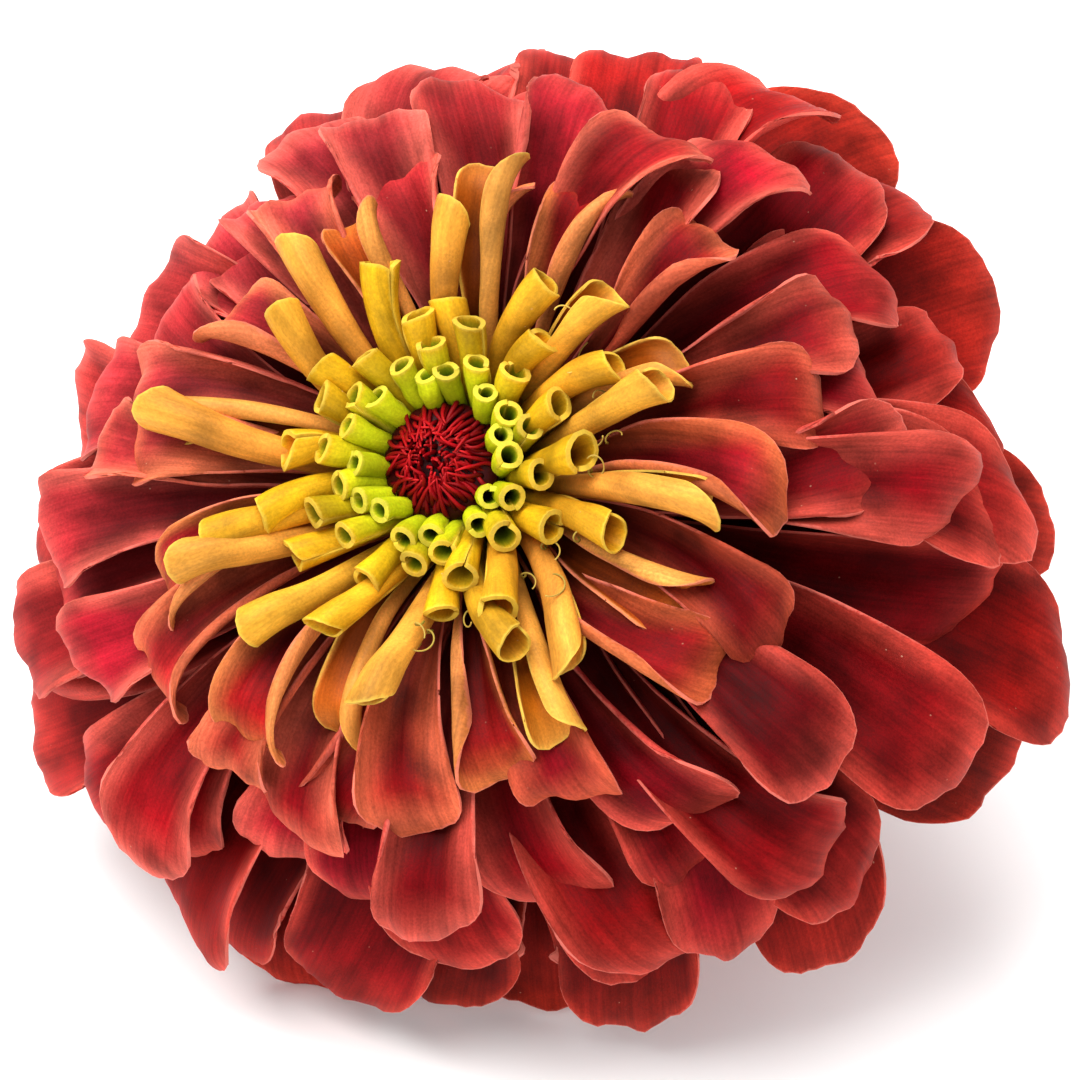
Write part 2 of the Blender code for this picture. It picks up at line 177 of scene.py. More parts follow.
# Painted shade: the near-black of the dome under the disc's threads
DISC_BED_PAINTED_SHADE = (0.05, 0.002, 0.004)
STYLE_STOPS = ((0, (0.30, 0.25, 0.03)), (1, (0.72, 0.50, 0.10)))
BRACT_STOPS = ((0, (0.16, 0.24, 0.06)), (0.6, (0.12, 0.21, 0.05)), (1, (0.10, 0.15, 0.04)))
BRACT_EDGE = (0.035, 0.016, 0.012)
STEM_STOPS = (
    (0, (0.20, 0.29, 0.08)), (0.04, (0.13, 0.22, 0.05)), (0.55, (0.16, 0.25, 0.06)),
    (0.75, (0.24, 0.30, 0.09)), (1, (0.30, 0.30, 0.10)),
)
HAIR_STOPS = ((0, (0.5, 0.55, 0.3)), (1, (0.8, 0.82, 0.6)))

# Where a floret's base, blade and tip curls hold, as shares of its length
CURL_PLACES = (0, 0.12, 0.45, 0.76, 0.97)
# How far from an edge a piece without edges counts as being
NO_EDGE = 9.0

FLOOR_REACH = 3.0
CAMERA_AZIMUTH = 20.5
CAMERA_ELEVATION = 37.5
CAMERA_DISTANCE = 0.45
CAMERA_LENS = 168
CAMERA_TARGET = (0.0017, -0.0043, 0.0398)

random = np.random.default_rng(638)


def at_age(stations, age):
    ages, values = zip(*stations)
    return float(np.interp(age, ages, values))


def smooth_step(low, high, x):
    share = np.clip((x - low) / (high - low), 0, 1)
    return share * share * (3 - 2 * share)


def directions(azimuth):
    cosine, sine = np.cos(azimuth), np.sin(azimuth)
    zero = np.zeros_like(cosine)
    return np.stack([cosine, sine, zero], -1), np.stack([-sine, cosine, zero], -1)


def receptacle_radius(height):
    share = height / RECEPTACLE_HEIGHT
    return RECEPTACLE_RADIUS + (RECEPTACLE_TOP_RADIUS - RECEPTACLE_RADIUS) * share


def calyx_radius(height):
    share = np.clip(1 + height / CALYX_DEPTH, 0, 1)
    return NECK_RADIUS + (RECEPTACLE_RADIUS - NECK_RADIUS) * np.sin(share * math.pi / 2)


def head_matrix():
    """The head's own frame in the row frame, found from the stem's solid."""
    turn = Matrix.Rotation(HEAD_LEAN, 4, "Y") @ Matrix.Rotation(HEAD_TILT, 4, "X")
    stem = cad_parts["stem_and_receptacle"]
    upright = np.array([turn.transposed() @ vertex.co for vertex in stem.data.vertices])
    low, high = upright.min(axis=0), upright.max(axis=0)
    origin = Vector(((low[0] + high[0]) / 2, (low[1] + high[1]) / 2, low[2] + STEM_LENGTH))
    return Matrix.Translation(turn @ origin) @ turn


# Florets


class Floret:
    """A sheet that grows out from the receptacle: angles in degrees, lengths in millimetres."""

    def __init__(self, azimuth, height, length, width, rises, lip, curls, **more):
        self.azimuth, self.height = azimuth, height
        self.length, self.width = length, width
        self.rises, self.lip, self.curls = rises, lip, curls
        self.claw = more.get("claw", 0.22)
        self.round = more.get("round", 0.24)
        self.lip_from = more.get("lip_from", 0.74)
        self.widest = more.get("widest", 0.68)
        self.roll_power = more.get("roll_power", 1.3)
        self.twist = more.get("twist", 0.0)
        self.bend = more.get("bend", 0.0)
        self.wave = more.get("wave", 0.5)
        self.thickness = more.get("thickness", 0.36)
        self.rows = more.get("rows", 40)
        self.columns = more.get("columns", 24)
        self.offset = more.get("offset", 0.4)
        self.mouth = more.get("mouth", 0.0)
        self.recurve = more.get("recurve", 0.0)
        self.side_rim = more.get("side_rim", 1.0)
        self.seam = more.get("seam", 0.0)
        self.skew = more.get("skew", 0.0)
        self.rim_thinning = more.get("rim_thinning", 0.6)
        self.seed = random.uniform(0, 100)
        self.phases = random.uniform(0, 2 * math.pi, 6)


def summed_along(value, along):
    """The integral of a grid of values over its rows."""
    steps = (value[1:] + value[:-1]) / 2 * np.diff(along, axis=0)
    return np.concatenate([np.zeros((1, value.shape[1])), np.cumsum(steps, axis=0)])


def floret_surface(f):
    """Grids of the middle surface's points, and of the shares along and across it."""
    turn = np.linspace(-math.pi / 2, math.pi / 2, f.columns + 1)[None, :]
    side = np.sin(turn)
    ragged = 0.012 * np.sin(2.6 * turn + f.phases[0]) + 0.005 * np.sin(7 * turn + f.phases[1])
    ragged = ragged + 0.002 * np.sin(23 * turn)
    reach = 1 - f.round * (1 - np.cos(turn)) + ragged * np.cos(turn)
    rows = 1 - (1 - np.linspace(0, 1, f.rows + 1)[:, None]) ** 1.5
    along = reach * rows
    side = side + 0 * along

    base, tip = math.radians(f.rises[0]), math.radians(f.rises[1])
    lip_bend = math.radians(f.lip) * (1 - 0.7 * side**2) * smooth_step(f.lip_from, 1.02, rows)
    rise_here = base + (tip - base) * smooth_step(0, 0.95, along) - lip_bend
    start = receptacle_radius(f.height * MM) + f.offset * MM
    middle_out = start + summed_along(np.cos(rise_here), along) * f.length * MM
    middle_up = f.height * MM + summed_along(np.sin(rise_here), along) * f.length * MM

    half = f.width * MM / 2 * (f.claw + (1 - f.claw) * smooth_step(0.04, f.widest, along))
    half = half * (1 + f.mouth * smooth_step(0.62, 0.95, along))
    base_curl, blade_curl, tip_curl = f.curls
    curls = (base_curl, base_curl, blade_curl, blade_curl * 0.8 + tip_curl * 0.2, tip_curl)
    curl = np.radians(np.interp(along, CURL_PLACES, curls))
    quarter = np.linspace(0, 1, 17)
    curl = curl * (1 + f.skew * smooth_step(0.1, 0.6, along) * np.sign(side))
    lean = curl[..., None] / 2 * (np.abs(side)[..., None] * quarter) ** f.roll_power
    sideways = side * np.trapz(np.cos(lean), quarter, axis=-1) * half
    raised = np.abs(side) * np.trapz(np.sin(lean), quarter, axis=-1) * half

    frill = np.where(
        side < 0,
        np.sin(2 * math.pi * 1.9 * along + f.phases[2]),
        np.sin(2 * math.pi * 1.6 * along + f.phases[3]),
    )
    raised = raised + f.wave * MM * np.abs(side) ** 2.5 * frill * smooth_step(0.25, 0.6, along)
    ripple = np.sin(9 * along + 4 * side + f.phases[4]) * np.sin(6 * side + f.phases[5])
    raised = raised + 0.36 * f.wave * MM * ripple * smooth_step(0.2, 0.5, along)

    axis = 2 * half / np.maximum(curl, 1)
    sideways, raised = (
        sideways * math.cos(f.seam) - (raised - axis) * math.sin(f.seam),
        axis + sideways * math.sin(f.seam) + (raised - axis) * math.cos(f.seam),
    )
    spin = math.radians(f.twist) * along
    sideways, raised = (
        sideways * np.cos(spin) - raised * np.sin(spin),
        sideways * np.sin(spin) + raised * np.cos(spin),
    )
    azimuth = f.azimuth + math.radians(f.bend) * along**2
    radial, across = directions(azimuth)
    inward = -np.sin(rise_here)[..., None] * radial + np.cos(rise_here)[..., None] * UPWARD
    points = (
        middle_out[..., None] * radial
        + middle_up[..., None] * UPWARD
        + inward * raised[..., None]
        + across * sideways[..., None]
    )
    to_tip = (reach - along) * f.length
    to_side = (1 - np.abs(side)) * half / MM
    from_tip = np.clip(1 - to_tip / 3.6, 0, 1) * (1 - np.abs(side) ** 3)
    from_side = f.side_rim * smooth_step(0.35, 0.8, along) * np.clip(1 - to_side / 2.8, 0, 1)
    rim = 1 - (1 - from_tip**2) * (1 - from_side**2)
    bends = 1 + 0.22 * np.sin(3.1 * turn + f.phases[1]) + 0.08 * np.sin(8.3 * turn + f.phases[4])
    points = points - grid_normals(points) * (f.recurve * MM * bends * rim)[..., None]
    return points, along, side, half, np.minimum(to_tip, to_side)


def grid_normals(points):
    down = np.gradient(points, axis=0)
    right = np.gradient(points, axis=1)
    normals = np.cross(down, right)
    length = np.linalg.norm(normals, axis=-1, keepdims=True)
    return normals / np.maximum(length, 1e-12)


def grid_faces(rows, columns, first=0, flip=False):
    at = first + np.arange((rows + 1) * (columns + 1)).reshape(rows + 1, columns + 1)
    quads = np.stack([at[:-1, :-1], at[:-1, 1:], at[1:, 1:], at[1:, :-1]], -1).reshape(-1, 4)
    return quads[:, ::-1] if flip else quads


def sheet_vertices(points, thin):
    """The vertices of both sides of a sheet from the points of its middle: thin is half of its thickness."""
    offset = grid_normals(points) * thin[..., None]
    return np.concatenate([(points + offset).reshape(-1, 3), (points - offset).reshape(-1, 3)])


def sheet_faces(rows, columns):
    """The faces of both sides of a sheet and of the rim that joins them."""
    count = (rows + 1) * (columns + 1)
    at = np.arange(count).reshape(rows + 1, columns + 1)
    rim = np.concatenate([at[0, :], at[1:, -1], at[-1, -2::-1], at[-2:0:-1, 0]])
    there = np.roll(rim, -1)
    band = np.stack([rim, rim + count, there + count, there], -1)
    return [grid_faces(rows, columns), grid_faces(rows, columns, count, True), band]


def shell(f, paint):
    """A floret as a closed shell with a face on each side: vertices, faces and what its shader reads."""
    points, along, side, half, edge = floret_surface(f)
    thin = f.thickness * MM / 2 * (1 - f.rim_thinning * np.maximum(np.abs(side), along) ** 8)
    flow = np.stack([along * f.length, side * half / MM, np.full_like(along, f.seed)], -1)
    tint = [paint(along, side, edge, upper) for upper in (True, False)]
    return {
        "vertices": sheet_vertices(points, thin),
        "faces": sheet_faces(f.rows, f.columns),
        "tint": np.concatenate([t.reshape(-1, 3) for t in tint]),
        "flow": np.concatenate([flow.reshape(-1, 3)] * 2),
        "edge": np.concatenate([edge.reshape(-1)] * 2),
    }


def gradient(x, *stops):
    """Colours along x from (place, colour) stops."""
    places = [place for place, _ in stops]
    colours = np.array([colour for _, colour in stops])
    return np.stack([np.interp(x, places, colours[:, channel]) for channel in range(3)], -1)


def mixed(a, b, share):
    share = np.asarray(share)[..., None] if np.ndim(share) else share
    return np.asarray(a) * (1 - share) + np.asarray(b) * share


def stage_paint(stage, hue, light):
    """Colours of a floret at its stage; hue holds three shares that make it its own, and light paints light
    and shade by the floret's side of the head.
    """
    stage = stage + 0.03 * (hue[0] - 0.5)
    throat_shade, face, lip, back = (gradient(stage, *table) for table in (THROAT_PAINTED_SHADE, FACE, LIP_AND_PAINTED_HIGHLIGHT, BACK))
    red = float(1 - smooth_step(0.38, 0.46, stage))
    young = float(smooth_step(0.38, 0.46, stage) - smooth_step(0.6, 0.74, stage))
    back = mixed(back, BLUSH, 0.5 * hue[1] * young)
    face = mixed(face, MAGENTA, 0.6 * red * hue[1] ** 2 * float(smooth_step(0.02, 0.2, stage)))
    # Painted light and shade: light is above 1 on the lighter side of the head and below 1 on the darker side
    face = face * (light + 0.35 * (hue[2] - 0.5))
    lip = mixed(lip, PAINTED_SHADE_SCARLET, 1.3 * max(0.95 - light, 0.0)) * (0.5 + 0.5 * light)
    painted_light_share = max(light - 1.0, 0.0)
    face, lip, back = (mixed(colour, PAINTED_LIGHT_PINK, 0.6 * painted_light_share) for colour in (face, lip, back))
    # Painted shade: the hollow of the petal's body, darkened towards the throat's painted shade
    painted_body_shade = mixed(face, mixed(throat_shade, PAINTED_DARK_SHADE, 0.5), 0.62)
    upper_stops = (
        (0.0, throat_shade), (0.46, throat_shade), (0.7, painted_body_shade), (0.84, face), (0.94, mixed(face, lip, 0.35)),
        (1.0, mixed(face, lip, 0.8)),
    )
    root = mixed(back, GREEN, 0.35 + 0.4 * (1 - red))
    under_stops = (
        (0.0, root), (0.4, back), (0.75, mixed(back, face, 0.3 * red)), (1.0, mixed(back, lip, 0.5)),
    )
    rim_width = (0.5 + (1.5 + 2.3 * float(smooth_step(0.03, 0.2, stage))) * red) * (0.7 + 0.6 * hue[0])

    def paint(along, side, edge, upper):
        # The lip band at the edges and tip: the floret's own paler lip, and on the red petals partly a
        # painted highlight
        rim = (1 - smooth_step(0.1, rim_width, edge)) * (0.25 + 0.75 * smooth_step(0.3, 0.8, along))
        if upper:
            colour = gradient(along, *upper_stops)
            # Painted shade down the middle of each red petal's trough
            colour = mixed(colour, painted_body_shade, 0.6 * red * (1 - side**2) * (1 - smooth_step(0.62, 0.9, along)))
            return mixed(colour, lip, 0.92 * rim)
        return mixed(gradient(along, *under_stops), lip, 0.7 * rim)

    return paint


def joined(parts):
    out = {key: np.concatenate([p[key] for p in parts]) for key in ("vertices", "tint", "flow", "edge")}
    starts = np.cumsum([0] + [len(p["vertices"]) for p in parts[:-1]])
    out["faces"] = [block + start for p, start in zip(parts, starts) for block in p["faces"]]
    return out


def add_piece(name, part, material, nodes, sharp=60):
    """One mesh object in the row frame from a part in the head's own frame."""
    matrix = np.array(HEAD)
    vertices = part["vertices"] @ matrix[:3, :3].T + matrix[:3, 3]
    vertices[:, 2] = FLOOR_EASE * np.logaddexp(0, vertices[:, 2] / FLOOR_EASE)
    mesh = bpy.data.meshes.new(name)
    mesh.from_pydata(vertices.tolist(), [], sum([block.tolist() for block in part["faces"]], []))
    tint = mesh.attributes.new("Tint", "FLOAT_COLOR", "POINT")
    opaque = np.concatenate([part["tint"], np.ones((len(vertices), 1))], 1)
    tint.data.foreach_set("color", opaque.astype(np.float32).ravel())
    flow = mesh.attributes.new("Flow", "FLOAT_VECTOR", "POINT")
    flow.data.foreach_set("vector", part["flow"].astype(np.float32).ravel())
    edge = mesh.attributes.new("Edge", "FLOAT", "POINT")
    edge.data.foreach_set("value", part["edge"].astype(np.float32))
    mesh.validate()
    mesh.shade_smooth()
    if sharp:
        mesh.set_sharp_from_angle(angle=math.radians(sharp))
    mesh.materials.append(material)
    piece = bpy.data.objects.new(name, mesh)
    bpy.context.scene.collection.objects.link(piece)
    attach(piece, "root")
    if nodes:
        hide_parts(*nodes)
    return piece


# Materials


def node(tree, kind, **settings):
    made = tree.nodes.new(kind)
    for key, value in settings.items():
        setattr(made, key, value)
    return made


def linked(tree, made, inputs):
    for key, value in inputs.items():
        if isinstance(value, bpy.types.NodeSocket):
            tree.links.new(value, made.inputs[key])
        else:
            made.inputs[key].default_value = value
    return made


def attribute(tree, name, output):
    made = node(tree, "ShaderNodeAttribute", attribute_name=name)
    return made.outputs[output]


def math_node(tree, operation, *values, clamp=False):
    made = node(tree, "ShaderNodeMath", operation=operation, use_clamp=clamp)
    linked(tree, made, dict(enumerate(values)))
    return made.outputs[0]


def ranged(tree, value, low, high, to_low, to_high):
    made = node(tree, "ShaderNodeMapRange", clamp=True)
    limits = {"From Min": low, "From Max": high, "To Min": to_low, "To Max": to_high}
    linked(tree, made, {"Value": value, **limits})
    return made.outputs[0]


def stretched(tree, vector, scale):
    made = node(tree, "ShaderNodeVectorMath", operation="MULTIPLY")
    linked(tree, made, {0: vector, 1: scale})
    return made.outputs[0]


def noise(tree, vector, scale, detail=2.0, roughness=0.5):
    made = node(tree, "ShaderNodeTexNoise")
    linked(tree, made, {"Vector": vector, "Scale": scale, "Detail": detail, "Roughness": roughness})
    return made.outputs[0]


def cells(tree, vector, scale):
    made = node(tree, "ShaderNodeTexVoronoi")
    linked(tree, made, {"Vector": vector, "Scale": scale})
    return made


def mix_colour(tree, share, a, b, blend="MIX"):
    made = node(tree, "ShaderNodeMix", data_type="RGBA", blend_type=blend)
    linked(tree, made, {0: share, 6: a, 7: b})
    return made.outputs[2]


def tissue(
    name,
    vein=0.8,
    grain=0.9,
    roughness=0.55,
    sheen=0.0,
    scatter=0.06,
    edge_colour=(0.78, 0.20, 0.15, 1),
    edge_share=0.5,
    specular=0.05,
):
    """Plant tissue tinted by its vertices, with lengthwise veins, fine grain, pale edges and specks."""
    material = bpy.data.materials.new(name)
    material.use_nodes = True
    tree = material.node_tree
    shader = tree.nodes["Principled BSDF"]
    tint = attribute(tree, "Tint", "Color")
    flow = attribute(tree, "Flow", "Vector")
    edge = attribute(tree, "Edge", "Fac")
    veins = noise(tree, stretched(tree, flow, (0.07, 2.6, 1.0)), 1.0, 3.0, 0.6)
    mottle = noise(tree, stretched(tree, flow, (0.2, 0.26, 1.0)), 1.0, 2.0, 0.5)
    fine = noise(tree, stretched(tree, flow, (4.2, 4.8, 1.0)), 1.0, 2.0, 0.6)
    papillae = cells(tree, stretched(tree, flow, (6.5, 6.5, 1.0)), 1.0).outputs["Distance"]
    veined = ranged(tree, veins, 0.3, 0.7, 1 - 0.3 * vein, 1 + 0.25 * vein)
    mottled = ranged(tree, mottle, 0.3, 0.7, 0.40, 0.98)
    grained = ranged(tree, fine, 0.3, 0.7, 1 - 0.22 * grain, 1 + 0.22 * grain)
    value = math_node(tree, "MULTIPLY", math_node(tree, "MULTIPLY", veined, mottled), grained)
    scaled = node(tree, "ShaderNodeVectorMath", operation="SCALE")
    linked(tree, scaled, {0: tint, "Scale": value})
    colour = scaled.outputs[0]
    ragged = noise(tree, stretched(tree, flow, (2.4, 2.4, 1.0)), 1.0, 2.0, 0.7)
    reach = ranged(tree, ragged, 0.3, 0.7, 0.10, 0.42)
    near = math_node(tree, "SUBTRACT", 1.0, math_node(tree, "DIVIDE", edge, reach), clamp=True)
    colour = mix_colour(tree, math_node(tree, "MULTIPLY", near, edge_share), colour, edge_colour)
    dots = cells(tree, stretched(tree, flow, (0.9, 0.9, 1.0)), 1.0)
    chosen = ranged(tree, noise(tree, stretched(tree, flow, (0.31, 0.31, 1.0)), 1.0), 0.6, 0.7, 0.0, 0.45)
    dot = math_node(tree, "MULTIPLY", ranged(tree, dots.outputs["Distance"], 0.05, 0.09, 1.0, 0.0), chosen)
    colour = mix_colour(tree, dot, colour, (0.75, 0.45, 0.30, 1))
    height = math_node(tree, "MULTIPLY", fine, 0.3 * grain)
    height = math_node(tree, "MULTIPLY_ADD", papillae, 0.35 * grain, height)
    height = math_node(tree, "MULTIPLY_ADD", veins, 0.55 * vein, height)
    bump = node(tree, "ShaderNodeBump")
    linked(tree, bump, {"Height": height, "Strength": 0.4, "Distance": 0.08 * MM})
    linked(tree, shader, {
        "Base Color": colour,
        "Normal": bump.outputs[0],
        "Roughness": ranged(tree, fine, 0.3, 0.7, roughness - 0.06, roughness + 0.08),
        "Specular IOR Level": specular,
        "Sheen Weight": sheen,
        "Sheen Roughness": 0.45,
        "Sheen Tint": (1.0, 0.72, 0.66, 1),
        "Subsurface Weight": scatter,
        "Subsurface Radius": (1.0, 0.30, 0.18),
        "Subsurface Scale": 0.6 * MM,
    })
    return material


# The flower


def jitter(amount):
    return float(random.uniform(-amount, amount))


def floret(index, shift=0.0, scale=1.0):
    """Floret number index of the spiral, shift degrees further round, as a closed painted shell."""
    age = index / (FLORET_COUNT - 1)
    stage = age + jitter(0.022 if age > 0.1 else 0.0)
    azimuth = SPIRAL_START + index * GOLDEN_ANGLE + math.radians(shift + jitter(3.0))
    side = (math.degrees(azimuth) + 173) % 360 - 173
    reach = float(np.interp(side, *zip(*SIDE_REACH)))
    red = float(1 - smooth_step(0.38, 0.5, stage))
    reach = scale * (1 + (reach - 1) * (0.3 + 0.7 * red))
    rolled = 0.45 < stage < 0.7
    tube = stage > 0.62
    hand = 1 if random.uniform() < 0.5 else -1
    seam = hand * float(smooth_step(0.46, 0.54, stage)) * random.uniform(0.9, 2.4)
    half_rolled = float(smooth_step(0.3, 0.38, stage) - smooth_step(0.46, 0.52, stage))
    length = at_age(LENGTH, stage) * reach * (1 + jitter(0.12 if rolled else 0.06))
    width = at_age(WIDTH, stage) * scale * (1 + jitter(0.07))
    base_rise = at_age(BASE_RISE, age) + jitter(1.5)
    tip_rise = at_age(TIP_RISE, age) + jitter(11 if rolled else 6 if age > 0.12 else 4.5)
    lip = at_age(LIP_DROP, stage) * (1 + jitter(0.3))
    blade_curl = at_age(BLADE_CURL, stage) * (1 + jitter(0.28) * red)
    tip_curl = at_age(TIP_CURL, stage) + jitter(30) * red
    made = Floret(
        azimuth,
        at_age(ATTACH_HEIGHT, age),
        length,
        width,
        (base_rise, tip_rise),
        lip,
        (at_age(BASE_CURL, stage), blade_curl, tip_curl),
        roll_power=at_age(ROLL_POWER, stage),
        claw=at_age(CLAW, stage),
        mouth=at_age(MOUTH, stage),
        round=at_age(TIP_ROUND, stage),
        twist=jitter(22 if red else 30),
        bend=jitter(14 if red or rolled else 4),
        recurve=at_age(RECURVE, stage) * (1 + jitter(0.3)),
        side_rim=0.8 * float(1 - smooth_step(0.06, 0.16, stage)),
        seam=seam,
        skew=jitter(0.2) * red + hand * half_rolled * random.uniform(0.3, 0.55),
        thickness=0.55 if tube else 0.38,
        rim_thinning=0.2 if tube else 0.5,
        wave=0.12 + (0.75 + jitter(0.45)) * red,
        lip_from=0.74 + 0.08 * (1 - red) + jitter(0.03),
        widest=0.62 + 0.28 * float(smooth_step(0.05, 0.3, stage)),
        rows=26 if tube else 40,
        columns=20 if tube else 26,
    )
    # Painted light and shade by the floret's side of the head, for the red petals only
    light = 0.95 + 0.38 * red * math.cos(azimuth - PAINTED_LIGHT_SIDE)
    return shell(made, stage_paint(stage, random.uniform(0, 1, 3), light))


def add_florets(velvet, waxy):
    inner_florets = (
        ("half_rolled_florets", 46, 60, velvet, "rolled_florets"),
        ("rolled_florets", 60, 78, waxy, "rolled_florets"),
        ("tube_florets_outer", 78, 95, waxy, "tube_florets_outer"),
        ("tube_florets_middle", 95, 112, waxy, "tube_florets_middle"),
        ("tube_florets_inner", 112, 130, waxy, "tube_florets_inner"),
    )
    for index in range(PETAL_COUNT):
        slot = "petal_outer" if index < PETAL_COUNT // 2 else "petal_upper"
        add_piece(f"visual_petal_{index + 1:02d}", floret(index), velvet, [f"petal_{index + 1:02d}"])
    add_between("petals_between", range(FIRST_BETWEEN, LAST_BETWEEN), velvet)
    for name, first, last, material, slot in inner_florets:
        part = joined([floret(index) for index in range(first, last)])
        add_piece(f"visual_{name}", part, material, [slot])
    add_between("lowest_between", range(1, FIRST_BETWEEN), velvet, 0.89)
    add_between("upper_between", UPPER_BETWEEN, velvet)
    deep = [floret(index + 0.25, DEEP_SHIFT, 0.82) for index in DEEP_PETALS]
    add_groups("deep_petals", deep, [10 + 2 * number for number in range(len(deep))], velvet)


def add_between(name, indices, velvet, scale=0.95):
    """More petals halfway between those of the CAD model."""
    sheets = [floret(index + 0.5, BETWEEN_SHIFT, scale) for index in indices]
    add_groups(name, sheets, [min(index + GROUP_SIZE, PETAL_COUNT) for index in indices], velvet)


def add_groups(name, sheets, petals, velvet):
    """Extra petals in groups, each group with the CAD petal that stands at its first place in petals."""
    for group, first in enumerate(range(0, len(sheets), GROUP_SIZE), 1):
        part = joined(sheets[first:first + GROUP_SIZE])
        add_piece(f"visual_{name}_{group}", part, velvet, [f"petal_{petals[first]:02d}"])


def string(path, radii, tint, sides=6, seed=0.0):
    """A closed tapering tube along a path of points."""
    path = np.asarray(path)
    forward = np.gradient(path, axis=0)
    forward /= np.linalg.norm(forward, axis=1, keepdims=True)
    aside = np.cross(forward, (0.31, 0.47, 0.83))
    aside /= np.linalg.norm(aside, axis=1, keepdims=True)
    other = np.cross(forward, aside)
    turn = np.arange(sides) * 2 * math.pi / sides
    circle = np.cos(turn)[None, :, None] * aside[:, None] + np.sin(turn)[None, :, None] * other[:, None]
    rings = path[:, None] + np.asarray(radii)[:, None, None] * circle
    rows = len(path)
    at = np.arange(rows * sides).reshape(rows, sides)
    there = np.roll(at, -1, axis=1)
    faces = np.stack([at[:-1], there[:-1], there[1:], at[1:]], -1).reshape(-1, 4)
    along = np.repeat(np.linspace(0, 1, rows), sides)
    length = np.linalg.norm(np.diff(path, axis=0), axis=1).sum() / MM
    vertices = np.concatenate([rings.reshape(-1, 3), path[:1], path[-1:]])
    first, last = rows * sides, rows * sides + 1
    caps = [[at[0, (k + 1) % sides], at[0, k], first, first] for k in range(sides)]
    caps += [[at[-1, k], at[-1, (k + 1) % sides], last, last] for k in range(sides)]
    along = np.concatenate([along, [0, 1]])
    around = np.concatenate([np.tile(turn, rows), [0, 0]])
    return {
        "vertices": vertices,
        "faces": (faces, np.array(caps)[:, :3]),
        "tint": gradient(along, *tint),
        "flow": np.stack([along * length, around * 0.3, np.full_like(along, seed)], -1),
        "edge": np.full(len(along), NO_EDGE),
    }


def add_disc(material):
    parts = []
    base = RECEPTACLE_HEIGHT + 0.3 * MM
    for number in range(DISC_THREADS):
        share = (number + 0.5) / DISC_THREADS
        radius = DISC_RADIUS * math.sqrt(share)
        azimuth = number * GOLDEN_ANGLE
        radial, across = directions(np.array(azimuth))
        lift = (1.0 + 2.2 * (1 - share)) * MM
        root = radius * radial + (base + lift * 0.4) * UPWARD
        length = random.uniform(2.8, 4.6) * MM * (0.7 + 0.4 * share)
        steps = np.linspace(0, 1, 9)
        lean = random.uniform(0.5, 1.1) * share + 0.1
        swirl = random.uniform(-0.35, 0.35)
        wiggle = random.uniform(-1, 1, 3) * 0.25 * MM
        path = []
        for s in steps:
            rise = (s - 0.25 * s * s) * (1 - 0.45 * lean)
            bent = rise * UPWARD - lean * s**1.4 * radial + swirl * s * s * across
            path.append(root + length * bent + wiggle * math.sin(5 * s + number))
        radii = 0.25 * MM * (1 - 0.7 * steps**1.5)
        shade = random.uniform(0, 1)
        stops = (*THREAD_COLOUR_AND_ROOT_SHADE, (1, mixed(*THREAD_TIPS, shade)))
        parts.append(string(path, radii, stops, seed=number * 0.37))
    add_piece("visual_disc_florets", joined(parts + [disc_bed()]), material, ["disc_florets"], 0)


def disc_bed():
    """The dome that the disc's florets stand in, painted near-black as painted shade under them."""
    rows, columns = 8, 36
    turn = np.linspace(0, math.pi / 2, rows + 1)[:, None]
    around = np.linspace(0, 2 * math.pi, columns, endpoint=False)[None, :]
    radius = 5.4 * MM * np.cos(turn) + 0 * around
    height = RECEPTACLE_HEIGHT + 0.2 * MM + 1.7 * MM * np.sin(turn) + 0 * around
    points = np.stack([radius * np.cos(around), radius * np.sin(around), height], -1).reshape(-1, 3)
    at = np.arange((rows + 1) * columns).reshape(rows + 1, columns)
    there = np.roll(at, -1, axis=1)
    quads = np.stack([at[:-1], there[:-1], there[1:], at[1:]], -1).reshape(-1, 4)
    count = len(points)
    return {
        "vertices": points,
        "faces": (quads, np.array([at[0, ::-1].tolist()])),
        "tint": np.tile(DISC_BED_PAINTED_SHADE, (count, 1)),
        "flow": points / MM,
        "edge": np.full(count, NO_EDGE),
    }


def add_styles(material):
    parts = []
    for number in range(STYLE_COUNT):
        azimuth = math.radians(-92 + 150 * number / (STYLE_COUNT - 1) + jitter(8))
        height = random.uniform(11.5, 15) * MM
        radial, across = directions(np.array(azimuth))
        radius = receptacle_radius(height) + random.uniform(5.5, 10.0) * MM
        root = radius * radial + (height + random.uniform(6, 9) * MM) * UPWARD
        steps = np.linspace(0, 1, 40)
        turns = random.uniform(0.7, 1.5) * 2 * math.pi
        size = random.uniform(0.7, 1.5) * MM
        hand = 1 if random.uniform() < 0.5 else -1
        path = []
        for s in steps:
            curl = size * s * (math.cos(turns * s) * radial + hand * math.sin(turns * s) * across)
            rise = 3.0 * MM * s + 0.8 * MM * s * s * math.sin(turns * s)
            path.append(root + rise * UPWARD + 1.6 * MM * s * radial + curl)
        radii = 0.11 * MM * (1 - 0.4 * steps)
        parts.append(string(path, radii, STYLE_STOPS, seed=number))
    add_piece("visual_styles", joined(parts), material, ["tube_florets_outer"], 0)


